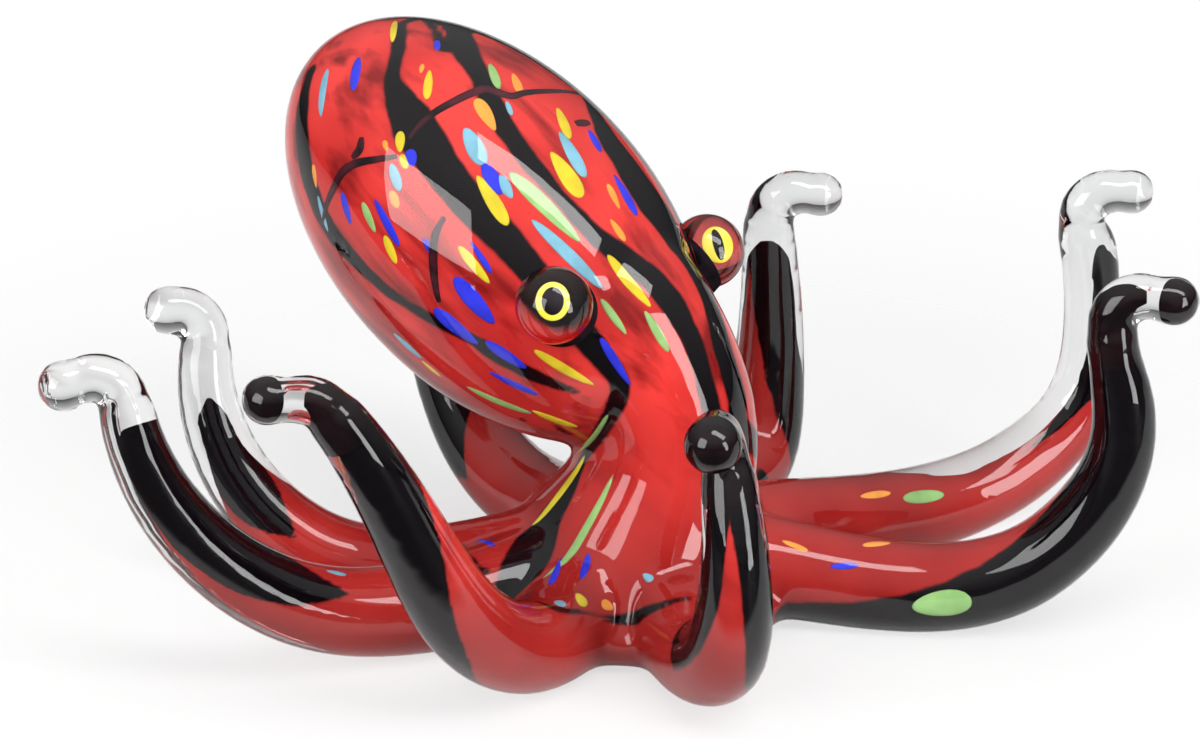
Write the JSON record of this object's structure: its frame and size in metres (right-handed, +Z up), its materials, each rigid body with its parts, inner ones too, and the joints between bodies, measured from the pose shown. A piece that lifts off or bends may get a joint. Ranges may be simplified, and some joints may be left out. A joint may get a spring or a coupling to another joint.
{
  "type": "glass octopus figurine",
  "caption": "Glass octopus ornament with a leaning hollow mantle, a flared neck, ball eyes and curled arms with clear hooked tips. It stands on a ground foot.",
  "frame": {"origin": "centre of the ground flat underside of the foot, on the table", "axes": "+Z up, +X to the viewer's right along the arm span, the viewer on the -Y side"},
  "size_m": [0.2982, 0.1954, 0.1512],
  "materials": {
    "red_glass": "gloss",
    "core_glass": "gloss",
    "clear_glass": "gloss",
    "eye_glass": "gloss",
    "yellow_glass": "gloss",
    "black_glass": "gloss"
  },
  "bodies": {
    "root": {"arm_back_left_casing": "clear_glass", "arm_back_left_core": "core_glass", "arm_back_left_tip": "clear_glass", "arm_back_right_casing": "clear_glass", "arm_back_right_core": "core_glass", "arm_back_right_tip": "clear_glass", "arm_front_casing": "clear_glass", "arm_front_core": "core_glass", "arm_front_left_casing": "clear_glass", "arm_front_left_core": "core_glass", "arm_front_left_tip": "clear_glass", "arm_front_tip": "clear_glass", "arm_left_back_casing": "clear_glass", "arm_left_back_core": "core_glass", "arm_left_back_tip": "clear_glass", "arm_left_front_casing": "clear_glass", "arm_left_front_core": "core_glass", "arm_left_front_tip": "clear_glass", "arm_right_back_casing": "clear_glass", "arm_right_back_core": "core_glass", "arm_right_back_tip": "clear_glass", "arm_right_front_casing": "clear_glass", "arm_right_front_core": "core_glass", "arm_right_front_tip": "clear_glass", "foot": "red_glass", "left_eye_ball": "eye_glass", "left_eye_iris": "yellow_glass", "left_eye_pad": "black_glass", "left_eye_pupil": "black_glass", "mantle": "red_glass", "mantle_casing": "clear_glass", "neck": "red_glass", "neck_casing": "clear_glass", "right_eye_ball": "eye_glass", "right_eye_iris": "yellow_glass", "right_eye_pad": "black_glass", "right_eye_pupil": "black_glass"}
  },
  "joints": []
}
